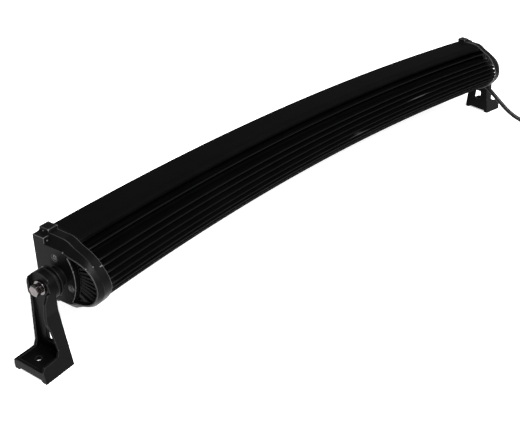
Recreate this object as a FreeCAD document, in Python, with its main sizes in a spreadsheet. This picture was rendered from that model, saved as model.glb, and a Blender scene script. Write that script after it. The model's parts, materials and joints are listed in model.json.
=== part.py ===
# Curved double-row LED light bar on two tilting end brackets.
#
# Frame: +X to the right seen from behind the lamps' front, lamps face -Y, +Z up.
# Origin: middle of the bounding box on the floor, without the cord.
# The bar is an arc about a vertical axis.  Along it a section is drawn in
# u (depth, from the front plane backwards) and z (up from the bar's middle).
# At each end a flat end frame carries on: s outwards, u backwards, z up.
import FreeCAD
import Part

import math
import os

import Sketcher

V = FreeCAD.Vector

doc = FreeCAD.newDocument("light_bar")
sheet = doc.addObject("Spreadsheet::Sheet", "Sizes")

SIZES = [
    # the bar as a whole
    ("arc_radius", 2930),        # radius of the front plane, about a vertical axis
    ("half_angle", 8.15),        # half of the arc, in degrees
    ("centre_height", 83.75),    # the bar's middle above the floor
    ("half_height", 38),         # housing, flat top and bottom
    ("crown_depth", 30),         # depth of the centre that the rear crown turns about
    ("crown_back", 47.4),        # crown radius straight back
    ("crown_low", 42.9),         # crown radius at 22.5 degrees
    ("crown_mid", 38.5),         # crown radius at 45 degrees
    ("crown_high", 35.6),        # crown radius at 67.5 degrees
    # housing section
    ("wall", 3.8),
    ("web_front", 21.5),         # the boards' seat
    ("web_back", 26.7),
    ("core_radius", 18),
    ("shoulder_depth", 39.6),    # where the smooth top ends and the fins start
    ("shoulder_wall", 4.2),
    ("fin_pitch", 5.9),
    ("fin_root", 3.0),
    ("fin_tip", 1.7),
    ("fin_focus", 10),           # depth of the line that all fins point at
    ("side_fin_z", 22.6),
    ("top_fin_z", 29.8),
    ("cavity_front", 26.5),
    ("cavity_back", 42),
    ("cavity_half", 12),
    ("cavity_half_back", 5.5),
    # lamps
    ("lens_front", 2.5),
    ("lens_thick", 3),
    ("groove_deep", 2.4),
    ("seal_gap", 0.6),
    ("reflector_front", 6.6),
    ("reflector_gap", 0.5),
    ("cup_radius", 11.8),
    ("cup_throat", 4.2),
    ("reflector_deep", 9),
    ("row_half", 14.5),
    ("lamps_in_row", 30),
    ("board_thick", 2),
    ("chip_size", 5),
    ("chip_high", 1.2),
    # end caps
    ("cap_proud", 1.7),
    ("cap_clear", 0.2),
    ("collar_long", 10),
    ("gasket_thick", 1),
    ("lip_out", 9),
    ("lip_slope", 0.04),
    ("lip_wall", 1.5),
    ("block_deep", 13),
    ("bump_high", 3),
    ("bump_long", 12),
    ("plate_arc", 50.4),
    ("plate_arc_depth", -2.4),
    ("hollow_deep", 5),
    # pivots and brackets
    ("pivot_depth", 26),
    ("boss_radius", 11),
    ("boss_end", 16),
    ("spacer_radius", 16),
    ("eye_start", 22),
    ("eye_radius", 16),
    ("arm_in", 26),
    ("arm_thick", 4),
    ("rib_top", 3),
    ("rib_wall", 3.6),
    ("straight_drop", 22),       # how far the arm's rear edge runs straight down
    ("rib_deep", 12.5),          # how far the rear rib stands out from the web
    ("end_wall", 12),            # height of the foot's outer end
    ("foot_end", 62),
    ("foot_back", 54),
    ("foot_floor", 5),
    ("foot_recess", 2.8),
    ("foot_wall", 17.5),
    ("front_wall", 11),
    ("window_front", -2),
    ("window_back", 10),
    ("window_low", 18.75),
    ("window_high", 33.75),
    ("foot_hole", 3.3),
    ("foot_hole_out", 45.5),
    ("bolt_radius", 3),
    ("bolt_play", 0.08),
    ("insert_radius", 5.5),
    ("washer_radius", 7.5),
    ("spring_radius", 5.3),
    ("head_across", 10.5),
    ("head_high", 5),
    # supply cord
    ("cord_radius", 3.5),
]
for row, (alias, number) in enumerate(SIZES, start=1):
    sheet.set("A%d" % row, alias)
    sheet.set("B%d" % row, str(number))
    sheet.setAlias("B%d" % row, alias)
doc.recompute()


def size(alias):
    """Return the number that the sheet holds under an alias."""
    return float(sheet.get(alias))


nodes = []


def keep(obj, label):
    """Give a finished sub-part its label, which names its file."""
    obj.Label = label
    nodes.append(obj)
    return obj


def feature(label, shape):
    """Make a kept sub-part from a shape that Part's own functions built."""
    obj = doc.addObject("Part::Feature", label)
    obj.Shape = shape
    return keep(obj, label)


def filled_in(text, form):
    """Put form(alias) in the place of each <alias> in an expression."""
    for alias, _ in SIZES:
        text = text.replace("<%s>" % alias, form(alias))
    return text


def bind(obj, **expressions):
    """Bind properties to expressions in the sheet's aliases."""
    for prop, text in expressions.items():
        obj.setExpression(prop, filled_in(text, "Sizes.{}".format))
    return obj


# ---------------------------------------------------------------- places
R = size("arc_radius")
ALPHA = math.radians(size("half_angle"))
SAGITTA = R * (1 - math.cos(ALPHA))
BACK = size("crown_depth") + size("crown_back") + size("cap_proud")
Y_FRONT = -(SAGITTA + BACK * math.cos(ALPHA)) / 2
AXIS = V(0, Y_FRONT + R, 0)
Z_MID = size("centre_height")


def end_placement(side=1):
    """Place the end frame: x outwards, y backwards, z up, at the arc's end."""
    base = V(side * R * math.sin(ALPHA), Y_FRONT + SAGITTA, Z_MID)
    return FreeCAD.Placement(base, FreeCAD.Rotation(V(0, 0, 1), side * size("half_angle")))


RIGHT_END = end_placement(1)


def mirrored(label, source):
    """Make the left-hand copy of a right-hand sub-part."""
    obj = doc.addObject("Part::Mirroring", label)
    obj.Source = source
    obj.Normal = V(1, 0, 0)
    obj.Base = V(0, 0, 0)
    return keep(obj, label)


def along_bar(face, start, end):
    """Turn a section face about the bar's axis from one angle to another."""
    turned = face.copy()
    turned.rotate(AXIS, V(0, 0, 1), math.degrees(start))
    return turned.revolve(AXIS, V(0, 0, 1), math.degrees(end - start))


def section_point(u, z):
    return V(0, Y_FRONT + u, Z_MID + z)


def polygon_face(points):
    return Part.Face(Part.makePolygon(points + points[:1]))


# ---------------------------------------------------------------- the section's outline
CROWN = [size("half_height"), size("crown_high"), size("crown_mid"), size("crown_low"),
         size("crown_back")]
CROWN_STEP = math.pi / 8


def crown_curve(radii, place):
    """Return a smooth curve from the top, round the back, to the bottom.

    radii are the distances from the crown's centre at 90, 67.5, 45, 22.5 and 0 degrees.
    """
    both = radii + radii[-2::-1]
    points = []
    for index, radius in enumerate(both):
        angle = math.pi / 2 - index * CROWN_STEP
        points.append(place(size("crown_depth") + radius * math.cos(angle), radius * math.sin(angle)))
    along = (place(1, 0) - place(0, 0)).normalize()
    curve = Part.BSplineCurve()
    curve.interpolate(points, InitialTangent=along, FinalTangent=along * -1)
    return curve


def outline_face(radii, front, place):
    """Return the closed face between the front line and the crown."""
    curve = crown_curve(radii, place)
    top, bottom = curve.StartPoint, curve.EndPoint
    corners = [place(front, radii[0]), place(front, -radii[0])]
    edges = [
        Part.makeLine(corners[0], top),
        curve.toShape(),
        Part.makeLine(bottom, corners[1]),
        Part.makeLine(corners[1], corners[0]),
    ]
    return Part.Face(Part.Wire(edges))


# ---------------------------------------------------------------- housing
PAST = 5            # how far a cutting tool runs past what it cuts
FAR_BACK, FAR_SIDE = 120, 60
SHOULDER_DROP = 3   # how much thicker the shoulder is at its rear edge
GROOVE_INSET = 1


def housing_section():
    """Return the extrusion's section: walls, web, core, and fins under the crown."""
    whole = outline_face(CROWN, 0, section_point)
    depth = size("shoulder_depth")
    half = size("half_height")
    wall = size("wall")
    web_front, web_back = size("web_front"), size("web_back")

    front_room = polygon_face([section_point(-PAST, z) for z in (half - wall, wall - half)]
                              + [section_point(web_front, z) for z in (wall - half, half - wall)])
    shell = whole.cut(front_room)
    for sign in (1, -1):
        groove_front = size("lens_front")
        groove_back = groove_front + size("lens_thick")
        inner = sign * (half - wall - GROOVE_INSET)
        outer = sign * (half - wall + size("groove_deep"))
        shell = shell.cut(polygon_face([
            section_point(groove_front, inner), section_point(groove_back, inner),
            section_point(groove_back, outer), section_point(groove_front, outer)]))

    # everything behind the web and the shoulders is cut back to the core, then finned
    under = half - size("shoulder_wall")
    back_room = polygon_face([
        section_point(web_back, under), section_point(depth, under - SHOULDER_DROP),
        section_point(depth, FAR_SIDE), section_point(FAR_BACK, FAR_SIDE),
        section_point(FAR_BACK, -FAR_SIDE), section_point(depth, -FAR_SIDE),
        section_point(depth, SHOULDER_DROP - under), section_point(web_back, -under),
    ])
    core = Part.Face(Part.Wire(Part.makeCircle(
        size("core_radius"), section_point(size("crown_depth"), 0), V(1, 0, 0))))
    pitch = size("fin_pitch")
    tips = [0]
    for height in (pitch, 2 * pitch, 3 * pitch, size("side_fin_z"), size("top_fin_z")):
        tips += [height, -height]
    shell = shell.cut(back_room.cut([core] + [fin(height) for height in tips]))

    front, back = size("cavity_front"), size("cavity_back")
    half_front, half_back = size("cavity_half"), size("cavity_half_back")
    cavity = polygon_face([section_point(front, half_front), section_point(back, half_back),
                           section_point(back, -half_back), section_point(front, -half_front)])
    return shell.cut(cavity).Faces[0]


FIN_BURIED = 0.6    # the share of the core's radius where a fin starts
FIN_OVER = 3        # how far a fin runs past the crown before the crown trims it


def fin(tip_z):
    """Return one tapered fin that points at the fins' focus, longer than the crown."""
    tip_u = crown_depth_at(tip_z)
    focus = size("fin_focus")
    angle = math.atan2(tip_z, tip_u - focus)
    reach = math.hypot(tip_z, tip_u - focus)
    root = size("crown_depth") + size("core_radius") * FIN_BURIED - focus
    across = V(0, -math.sin(angle), math.cos(angle))
    along = V(0, math.cos(angle), math.sin(angle))
    start = section_point(focus, 0) + along * root
    end = section_point(focus, 0) + along * reach
    slope = (size("fin_tip") - size("fin_root")) / (reach - root)
    over = end + along * FIN_OVER
    half_over = (size("fin_tip") + FIN_OVER * slope) / 2
    return polygon_face([
        start + across * (size("fin_root") / 2), over + across * half_over,
        over - across * half_over, start - across * (size("fin_root") / 2),
    ])


def crown_depth_at(height):
    """Return the depth of the crown at a height."""
    curve = crown_curve(CROWN, lambda u, z: V(0, u, z))
    ray = Part.makeLine(V(0, size("crown_depth"), height), V(0, FAR_BACK, height))
    return curve.toShape().section(ray).Vertexes[0].Point.y


GASKET_SLACK = 0.1
HOUSING_END = ALPHA - (size("gasket_thick") + GASKET_SLACK) / R
BOSS_PORTS = [(24.1, 20), (24.1, -20), (41.5, -9)]
PORT_RADIUS = 1.6
PORT_DEEP = 16


def end_cylinder(radius, start, end, u, z):
    """Return a cylinder along the end frame's s axis, placed at the right end."""
    body = Part.makeCylinder(radius, end - start, V(start, u, z), V(1, 0, 0))
    body.Placement = RIGHT_END.multiply(body.Placement)
    return body


def both_ends(shape):
    return [shape, shape.mirror(V(0, 0, 0), V(1, 0, 0))]


housing_shape = along_bar(housing_section(), -HOUSING_END, HOUSING_END)
ports = []
for port_u, port_z in BOSS_PORTS:
    ports += both_ends(end_cylinder(PORT_RADIUS, -PORT_DEEP, 1, port_u, port_z))
feature("housing", housing_shape.cut(ports))


# ---------------------------------------------------------------- lamps
def strip(label, u_front, u_back, z_low, z_high, start=-HOUSING_END, end=HOUSING_END):
    """Make a plain strip of rectangular section that follows the arc."""
    face = polygon_face([section_point(u_front, z_low), section_point(u_back, z_low),
                         section_point(u_back, z_high), section_point(u_front, z_high)])
    return feature(label, along_bar(face, start, end))


LENS_HALF = size("half_height") - size("wall") + size("groove_deep") - size("seal_gap")
LENS_BACK = size("lens_front") + size("lens_thick")
strip("lens", size("lens_front"), LENS_BACK, -LENS_HALF, LENS_HALF)
SEAL_HALF = LENS_HALF + size("seal_gap")
strip("lens_seal_top", size("lens_front"), LENS_BACK, LENS_HALF, SEAL_HALF)
strip("lens_seal_bottom", size("lens_front"), LENS_BACK, -SEAL_HALF, -LENS_HALF)

ROOM_HALF = size("half_height") - size("wall") - size("reflector_gap")
BOARD_FRONT = size("web_front") - size("board_thick")
MODULES = ["left", "centre", "right"]
MODULE_END_GAP = 0.006      # angle from the housing's end to the first board, in radians
MODULE_GAP = 0.0003         # half of the angle between two boards
MODULE_ANGLE = 2 * (ALPHA - MODULE_END_GAP) / len(MODULES)
CUP_PAST = 0.5
CUP_LONG = BOARD_FRONT - size("reflector_front") + CUP_PAST
CUP_SLOPE = (size("cup_radius") - size("cup_throat")) / CUP_LONG
CUP_WIDE = size("cup_radius") - CUP_SLOPE * CUP_PAST
CUP_NARROW = CUP_WIDE - CUP_SLOPE * size("reflector_deep")
CUP_VOLUME = (math.pi * size("reflector_deep") / 3
              * (CUP_WIDE ** 2 + CUP_WIDE * CUP_NARROW + CUP_NARROW ** 2))
per_module = int(size("lamps_in_row")) // len(MODULES)
LAMP_ANGLE = MODULE_ANGLE / per_module
BOARD_SCREW_RADIUS = 1.5
BOARD_SCREW_LONG = 4


def lamp_frame(angle, z):
    """Return the placement of a lamp: its z axis looks forwards, out of the lens."""
    spot = V(0, Y_FRONT + BOARD_FRONT, Z_MID + z)
    place = FreeCAD.Placement(spot, FreeCAD.Rotation(V(1, 0, 0), 90))
    turn = FreeCAD.Placement(V(0, 0, 0), FreeCAD.Rotation(V(0, 0, 1), math.degrees(angle)), AXIS)
    return turn.multiply(place)


def placed(shape, placement):
    moved = shape.copy()
    moved.Placement = placement.multiply(moved.Placement)
    return moved


def with_cup(block, lamp):
    """Cut one cup into a reflector, with the cone's seam turned until the cut is sound."""
    for turn in range(0, 180, 30):
        cup = Part.makeCone(size("cup_throat"), size("cup_radius"), CUP_LONG)
        cup.rotate(V(0, 0, 0), V(0, 0, 1), turn)
        rest = block.cut(placed(cup, lamp))
        if abs((block.Volume - rest.Volume) / CUP_VOLUME - 1) < 0.01 and rest.isValid():
            return rest
    raise ValueError("a reflector's cup could not be cut")


chips = []
board_screws = []
for index, name in enumerate(MODULES):
    first = (index - len(MODULES) / 2) * MODULE_ANGLE
    start, end = first + MODULE_GAP, first + MODULE_ANGLE - MODULE_GAP
    board = strip("led_board_" + name, BOARD_FRONT, size("web_front"), -ROOM_HALF, ROOM_HALF, start, end)
    face_front = size("reflector_front")
    face_back = face_front + size("reflector_deep")
    face = polygon_face([section_point(face_front, -ROOM_HALF), section_point(face_back, -ROOM_HALF),
                         section_point(face_back, ROOM_HALF), section_point(face_front, ROOM_HALF)])
    block = along_bar(face, start, end)
    lamps = []
    chip = Part.makeBox(size("chip_size"), size("chip_size"), size("chip_high"),
                        V(-size("chip_size") / 2, -size("chip_size") / 2, 0))
    for column in range(per_module):
        angle = first + (column + 0.5) * LAMP_ANGLE
        for row_z in (-size("row_half"), size("row_half")):
            lamp = lamp_frame(angle, row_z)
            lamps.append(lamp)
            chips.append(placed(chip, lamp))
    for lamp in lamps:
        block = with_cup(block, lamp)
    feature("reflector_" + name, block)
    holes = []
    for column in (1, per_module // 2, per_module - 1):
        angle = first + column * LAMP_ANGLE
        shank = Part.makeCylinder(BOARD_SCREW_RADIUS, size("board_thick") + BOARD_SCREW_LONG,
                                  V(0, 0, -size("board_thick") - BOARD_SCREW_LONG))
        holes.append(placed(shank, lamp_frame(angle, 0)))
    board.Shape = board.Shape.cut(holes)
    board_screws += holes
feature("led_chips", Part.makeCompound(chips))
feature("board_screws", Part.makeCompound(board_screws))
housing = nodes[0]
housing.Shape = housing.Shape.cut(board_screws)

# ---------------------------------------------------------------- driver inside the core
DRIVER_PLATE = 1.6
DRIVER_FRONT = size("cavity_front") + 1.5
DRIVER_HALF = size("cavity_half") - 2.2
DRIVER_ANGLE = ALPHA * 0.55
strip("driver_board", DRIVER_FRONT, DRIVER_FRONT + DRIVER_PLATE, -DRIVER_HALF, DRIVER_HALF,
      -DRIVER_ANGLE, DRIVER_ANGLE)


def inside_frame(angle, u, z):
    """Return a placement inside the core whose z axis looks backwards."""
    place = FreeCAD.Placement(V(0, Y_FRONT + u, Z_MID + z), FreeCAD.Rotation(V(1, 0, 0), -90))
    turn = FreeCAD.Placement(V(0, 0, 0), FreeCAD.Rotation(V(0, 0, 1), math.degrees(angle)), AXIS)
    return turn.multiply(place)


PART_BACK = DRIVER_FRONT + DRIVER_PLATE
COIL_RADIUS, COIL_HIGH, COIL_Z = 4.5, 5.5, 3
CAN_RADIUS, CAN_HIGH, CAN_Z = 3.2, 6.5, -4
CAN_ASIDE = 10      # how far along the bar the can stands from its coil
DRIVER_STAGES = 6
driver_parts = []
for stage in range(DRIVER_STAGES):
    angle = DRIVER_ANGLE * (2 * (stage + 0.5) / DRIVER_STAGES - 1)
    coil = Part.makeCylinder(COIL_RADIUS, COIL_HIGH)
    can = Part.makeCylinder(CAN_RADIUS, CAN_HIGH)
    driver_parts.append(placed(coil, inside_frame(angle, PART_BACK, COIL_Z)))
    driver_parts.append(placed(can, inside_frame(angle + CAN_ASIDE / R, PART_BACK, CAN_Z)))
feature("driver_parts", Part.makeCompound(driver_parts))

WIRE_RADIUS = 0.9
WIRE_BACK = PART_BACK + WIRE_RADIUS
WIRE_APART = 4
WIRE_OVER = 0.001       # angle over which the wires lie on the driver's board
wires = []
for wire_z in (-WIRE_APART, WIRE_APART):
    disc = Part.Face(Part.Wire(Part.makeCircle(
        WIRE_RADIUS, section_point(WIRE_BACK, wire_z), V(1, 0, 0))))
    wires.append(along_bar(disc, -HOUSING_END, WIRE_OVER - DRIVER_ANGLE))
feature("supply_wires", Part.makeCompound(wires))


# ---------------------------------------------------------------- end caps
def end_plane(s_of_u):
    """Return a function that puts section points in the end frame, at s given by u."""
    return lambda u, z: V(s_of_u(u), u, z)


def grown(radii, amount):
    return [radius + amount for radius in radii]


LIP_RADII = [30.6, 30.4, 35.4, 42.6, 45.6]      # the bevel's outer edge, at the crown's angles
PROUD = size("cap_proud")
WINDOW_DEEP = 2             # depth behind the front plane down to which the collar is open
EDGE_ROUND = 1.5
BUMP_ROUND = 1.2
HOLLOW_LONG, HOLLOW_HALF = 12, 9


def cap_shape():
    """Return the right end cap in the end frame: collar, bevelled band, plate and boss."""
    outer = grown(CROWN, PROUD)
    collar_start = -size("collar_long")
    front = -PROUD
    full = outline_face(outer, front, end_plane(lambda u: collar_start))
    collar = full.extrude(V(size("collar_long"), 0, 0))
    # the room for the housing's end, which every piece of the cap stays out of
    room_start = -size("bump_long") - 1
    room_face = outline_face(grown(CROWN, size("cap_clear")), -size("cap_clear"),
                             end_plane(lambda u: room_start))
    room = room_face.extrude(V(-room_start, 0, 0))
    # the collar leaves the lamps' window open
    window_half = size("half_height") - size("wall")
    window = Part.makeBox(size("collar_long") + 2, PAST + WINDOW_DEEP, 2 * window_half,
                          V(collar_start - 1, -PAST, -window_half))
    collar = collar.cut(window)

    lip = end_plane(lambda u: size("lip_out") - size("lip_slope") * u)
    foot = end_plane(lambda u: 0)
    outer_foot = outline_face(outer, front, foot).OuterWire
    outer_lip = outline_face(LIP_RADII, front, lip).OuterWire
    band = Part.makeLoft([outer_foot, outer_lip], True)
    # the full-height front of the cap ends in the same sloping plane as the bevel's lip
    block_half = outer[0] - EDGE_ROUND
    corners = [foot(front, 0), lip(front, 0), lip(size("block_deep"), 0), foot(size("block_deep"), 0)]
    block = polygon_face([corner - V(0, 0, block_half) for corner in corners])
    block = block.extrude(V(0, 0, 2 * block_half))
    cap = collar.fuse([band, block])

    # crescent between the plate's round edge and the lip, open to the fins
    inner = outline_face(grown(LIP_RADII, -size("lip_wall")), front, end_plane(lambda u: -1))
    opening = inner.extrude(V(size("lip_out") + PAST, 0, 0))
    plate = Part.makeCylinder(size("plate_arc"), 2 * FAR_SIDE,
                              V(-FAR_SIDE, size("plate_arc_depth"), 0), V(1, 0, 0))
    cap = cap.cut(opening.cut(plate))
    hollow = Part.makeBox(size("hollow_deep") + 1, HOLLOW_LONG, 2 * HOLLOW_HALF,
                          V(-1, size("cavity_front") + 1, -HOLLOW_HALF))
    cap = cap.cut(hollow)

    for sign in (1, -1):
        top = outer[0]
        bump = Part.makeBox(size("bump_long"), size("block_deep"), size("bump_high") + 2,
                            V(-size("bump_long"), front, top - 2))
        bump = bump.makeFillet(BUMP_ROUND, [edge for edge in bump.Edges
                                            if edge.BoundBox.ZMin > top + size("bump_high") - 0.01])
        if sign < 0:
            bump = bump.mirror(V(0, 0, 0), V(0, 0, 1))
        cap = cap.fuse(bump)
    cap = cap.cut(room)

    pivot = V(0, size("pivot_depth"), 0)
    boss = Part.makeCylinder(size("boss_radius"), size("boss_end") - size("hollow_deep") - 1,
                             pivot + V(size("hollow_deep") + 1, 0, 0), V(1, 0, 0))
    boss = boss.makeFillet(1, [edge for edge in boss.Edges
                               if edge.BoundBox.XMin > size("boss_end") - 0.01])
    cap = cap.fuse(boss)
    insert = Part.makeCylinder(size("insert_radius"), INSERT_LONG,
                               pivot + V(size("boss_end") - INSERT_LONG, 0, 0), V(1, 0, 0))
    cap = cap.cut(insert)
    for port_u, port_z in BOSS_PORTS:
        hole = Part.makeCylinder(SCREW_RADIUS + SCREW_PLAY, 30, V(-PAST, port_u, port_z), V(1, 0, 0))
        seat = Part.makeCylinder(SCREW_HEAD_RADIUS + SCREW_PLAY, 20, V(SCREW_SEAT, port_u, port_z),
                                 V(1, 0, 0))
        cap = cap.cut([hole, seat])
    return cap.removeSplitter()


INSERT_LONG = 9
SCREW_RADIUS = 1.9
SCREW_HEAD_RADIUS = 3.3
SCREW_HEAD_HIGH = 2.2
SCREW_SEAT = 5.2
SCREW_PLAY = 0.3
VENT_SPOT = (9, -24)
VENT_HOLE = 4

right_cap = cap_shape()
vent_hole = Part.makeCylinder(VENT_HOLE, 20, V(-PAST, *VENT_SPOT), V(1, 0, 0))
feature("end_cap_right", placed(right_cap.cut(vent_hole), RIGHT_END))

GLAND_S = 14
GLAND_Z = -30.5
GLAND_START, GLAND_LONG = 8, 14
GLAND_RADIUS = 5
GLAND_WALL = 6          # from the gland's axis to the block's outer face
GLAND_BLIND = 3         # from the block's front face to the gland's inner end
BLOCK_HIGH = 13
WIRE_CHANNEL = 3.5
block = Part.makeBox(GLAND_S + GLAND_WALL, GLAND_LONG, BLOCK_HIGH,
                     V(0, GLAND_START, GLAND_Z - BLOCK_HIGH / 2))
block = block.makeFillet(EDGE_ROUND, [edge for edge in block.Edges
                                      if edge.BoundBox.XMin > GLAND_S + GLAND_WALL - 0.1])
thread = Part.makeCylinder(GLAND_RADIUS, GLAND_LONG, V(GLAND_S, GLAND_START + GLAND_BLIND, GLAND_Z),
                           V(0, 1, 0))
# the wires' way: across the cap's inner face, down it, and out to the gland
wire_ways = [
    Part.makeBox(WIRE_CHANNEL + 1, 18, 5, V(-1, 12, -8)),
    Part.makeBox(WIRE_CHANNEL + 1, 5, 28, V(-1, 12, -31)),
    Part.makeCylinder(1.8, GLAND_S, V(0, 14.5, -28), V(1, 0, 0)),
]
left_cap = placed(right_cap.fuse(block).cut([thread] + wire_ways), RIGHT_END)
feature("end_cap_left", left_cap.mirror(V(0, 0, 0), V(1, 0, 0)))


GASKET_ROOM_FRONT, GASKET_ROOM_HALF = 6.5, 26


def gasket_shape():
    """Return the flat gasket between the housing's end and the cap's plate."""
    face = outline_face(grown(CROWN, -1), 0.5, end_plane(lambda u: -size("gasket_thick")))
    flat = face.extrude(V(size("gasket_thick"), 0, 0))
    plate = Part.makeCylinder(size("plate_arc") - EDGE_ROUND, 2 * FAR_SIDE,
                              V(-FAR_SIDE, size("plate_arc_depth"), 0), V(1, 0, 0))
    flat = flat.common(plate)
    start, through = -size("gasket_thick") - PAST, size("gasket_thick") + 2 * PAST
    room = Part.makeBox(through, size("web_front") - GASKET_ROOM_FRONT - 0.5, 2 * GASKET_ROOM_HALF,
                        V(start, GASKET_ROOM_FRONT, -GASKET_ROOM_HALF))
    cavity = Part.makeBox(through, HOLLOW_LONG, 2 * HOLLOW_HALF,
                          V(start, size("cavity_front") + 1, -HOLLOW_HALF))
    holes = [Part.makeCylinder(SCREW_RADIUS + SCREW_PLAY, through, V(start, u, z), V(1, 0, 0))
             for u, z in BOSS_PORTS]
    return flat.cut([room, cavity] + holes)


gasket = feature("cap_gasket_right", placed(gasket_shape(), RIGHT_END))
mirrored("cap_gasket_left", gasket)


CROSS_LONG, CROSS_WIDE, CROSS_DEEP = 3.6, 0.8, 1.2
SCREW_SHORT = 4         # how far the screw ends before its port does


def cap_screw(u, z):
    """Return a pan-head screw that holds the cap, with a cross recess."""
    shank = Part.makeCylinder(PORT_RADIUS, SCREW_SEAT + PORT_DEEP - SCREW_SHORT,
                              V(SCREW_SHORT - PORT_DEEP, u, z), V(1, 0, 0))
    head = Part.makeCylinder(SCREW_HEAD_RADIUS, SCREW_HEAD_HIGH, V(SCREW_SEAT, u, z), V(1, 0, 0))
    head = head.makeFillet(0.8, [edge for edge in head.Edges
                                 if edge.BoundBox.XMin > SCREW_SEAT + SCREW_HEAD_HIGH - 0.01])
    cross_start = SCREW_SEAT + SCREW_HEAD_HIGH - CROSS_DEEP
    upright = Part.makeBox(2 * CROSS_DEEP, CROSS_WIDE, CROSS_LONG,
                           V(cross_start, u - CROSS_WIDE / 2, z - CROSS_LONG / 2))
    level = Part.makeBox(2 * CROSS_DEEP, CROSS_LONG, CROSS_WIDE,
                         V(cross_start, u - CROSS_LONG / 2, z - CROSS_WIDE / 2))
    return placed(shank.fuse(head).cut([upright, level]), RIGHT_END)


cap_screws = [cap_screw(u, z) for u, z in BOSS_PORTS]
screws_right = feature("cap_screws_right", Part.makeCompound(cap_screws))
mirrored("cap_screws_left", screws_right)

VENT_HEAD_HIGH = 2.4
vent_stem = Part.makeCylinder(VENT_HOLE - 0.2, size("lip_out"), V(0.2, *VENT_SPOT), V(1, 0, 0))
vent_head = Part.makeCylinder(VENT_HOLE + 2, VENT_HEAD_HIGH, V(size("lip_out"), *VENT_SPOT), V(1, 0, 0))
feature("breather_vent", placed(vent_stem.fuse(vent_head), RIGHT_END))


# ---------------------------------------------------------------- pivot hardware
def turned(label, parts, holes=()):
    """Make a right-hand piece of cylinders about the pivot, and its left-hand copy.

    parts and holes are (radius alias, start, end) along s.
    """
    solids = []
    for radius, start, end in parts:
        cylinder = doc.addObject("Part::Cylinder", label + "_disc")
        bind(cylinder, Radius=radius)
        cylinder.Height = end - start
        spot = FreeCAD.Placement(V(start, size("pivot_depth"), 0), FreeCAD.Rotation(V(0, 1, 0), 90))
        cylinder.Placement = RIGHT_END.multiply(spot)
        solids.append(cylinder)
    body = solids[0]
    if len(solids) > 1:
        body = doc.addObject("Part::MultiFuse", label + "_solid")
        body.Shapes = solids
    for radius, start, end in holes:
        bore = doc.addObject("Part::Cylinder", label + "_bore")
        bind(bore, Radius=radius)
        bore.Height = end - start
        spot = FreeCAD.Placement(V(start, size("pivot_depth"), 0), FreeCAD.Rotation(V(0, 1, 0), 90))
        bore.Placement = RIGHT_END.multiply(spot)
        cut = doc.addObject("Part::Cut", label + "_cut")
        cut.Base = body
        cut.Tool = bore
        body = cut
    keep(body, label + "_right")
    mirrored(label + "_left", body)
    return body


BOSS_END = size("boss_end")
EYE_START = size("eye_start")
WEB_OUT = size("arm_in") + size("arm_thick")
WASHER_THICK = 1.6
SPRING_THICK = 2.1
WASHER_START = WEB_OUT + 0.05
SPRING_START = WASHER_START + WASHER_THICK
HEAD_START = SPRING_START + SPRING_THICK
SPACER_GAP = 0.05
turned("pivot_insert", [("<insert_radius>", BOSS_END - INSERT_LONG, BOSS_END)],
       [("<bolt_radius>", BOSS_END - INSERT_LONG - 1, BOSS_END + 1)])
SPACER_RIM = 1.6
turned("rubber_spacer", [("<spacer_radius>", BOSS_END, BOSS_END + SPACER_RIM),
                         ("<spacer_radius> - 3", BOSS_END + SPACER_RIM, EYE_START - SPACER_RIM),
                         ("<spacer_radius>", EYE_START - SPACER_RIM, EYE_START - SPACER_GAP)],
       [("<bolt_radius> + 0.3", BOSS_END - 1, EYE_START + 1)])
turned("flat_washer", [("<washer_radius>", WASHER_START, SPRING_START)],
       [("<bolt_radius> + 0.2", WASHER_START - 1, SPRING_START + 1)])


HEAD_CHAMFER = math.radians(28)     # the chamfer's slope from the head's flat face


def hex_bolt():
    """Return the pivot bolt about the end frame's s axis: shank and chamfered hexagon head."""
    pivot = V(0, size("pivot_depth"), 0)
    shank_start = BOSS_END - INSERT_LONG + 1
    shank = Part.makeCylinder(size("bolt_radius"), HEAD_START - shank_start,
                              pivot + V(shank_start, 0, 0), V(1, 0, 0))
    corner = size("head_across") / math.sqrt(3)
    points = []
    for index in range(6):
        angle = index * math.pi / 3
        points.append(pivot + V(HEAD_START, corner * math.cos(angle), corner * math.sin(angle)))
    head = polygon_face(points).extrude(V(size("head_high"), 0, 0))
    face_radius = size("head_across") / 2 - 0.2
    chamfer = Part.makeCone(face_radius + size("head_high") / math.tan(HEAD_CHAMFER), face_radius,
                            size("head_high"), pivot + V(HEAD_START, 0, 0), V(1, 0, 0))
    return shank.fuse(head.common(chamfer)).removeSplitter()


bolt = feature("pivot_bolt_right", placed(hex_bolt(), RIGHT_END))
mirrored("pivot_bolt_left", bolt)


SPRING_GAP = 1.2
SPRING_SLANT = 25


def spring_washer():
    """Return a split spring washer: a ring of square section with a slanting gap."""
    pivot = V(0, size("pivot_depth"), 0)
    ring = Part.makeCylinder(size("spring_radius"), SPRING_THICK, pivot + V(SPRING_START, 0, 0), V(1, 0, 0))
    ring = ring.cut(Part.makeCylinder(size("bolt_radius") + 0.1, SPRING_THICK + 2,
                                      pivot + V(SPRING_START - 1, 0, 0), V(1, 0, 0)))
    reach = size("spring_radius") + 1
    gap = Part.makeBox(4 * SPRING_THICK, SPRING_GAP, reach,
                       pivot + V(SPRING_START - 1.5 * SPRING_THICK, -SPRING_GAP / 2, 0))
    gap.rotate(pivot + V(SPRING_START + SPRING_THICK / 2, 0, 0), V(0, 0, 1), SPRING_SLANT)
    return ring.cut(gap)


spring = feature("spring_washer_right", placed(spring_washer(), RIGHT_END))
mirrored("spring_washer_left", spring)


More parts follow.
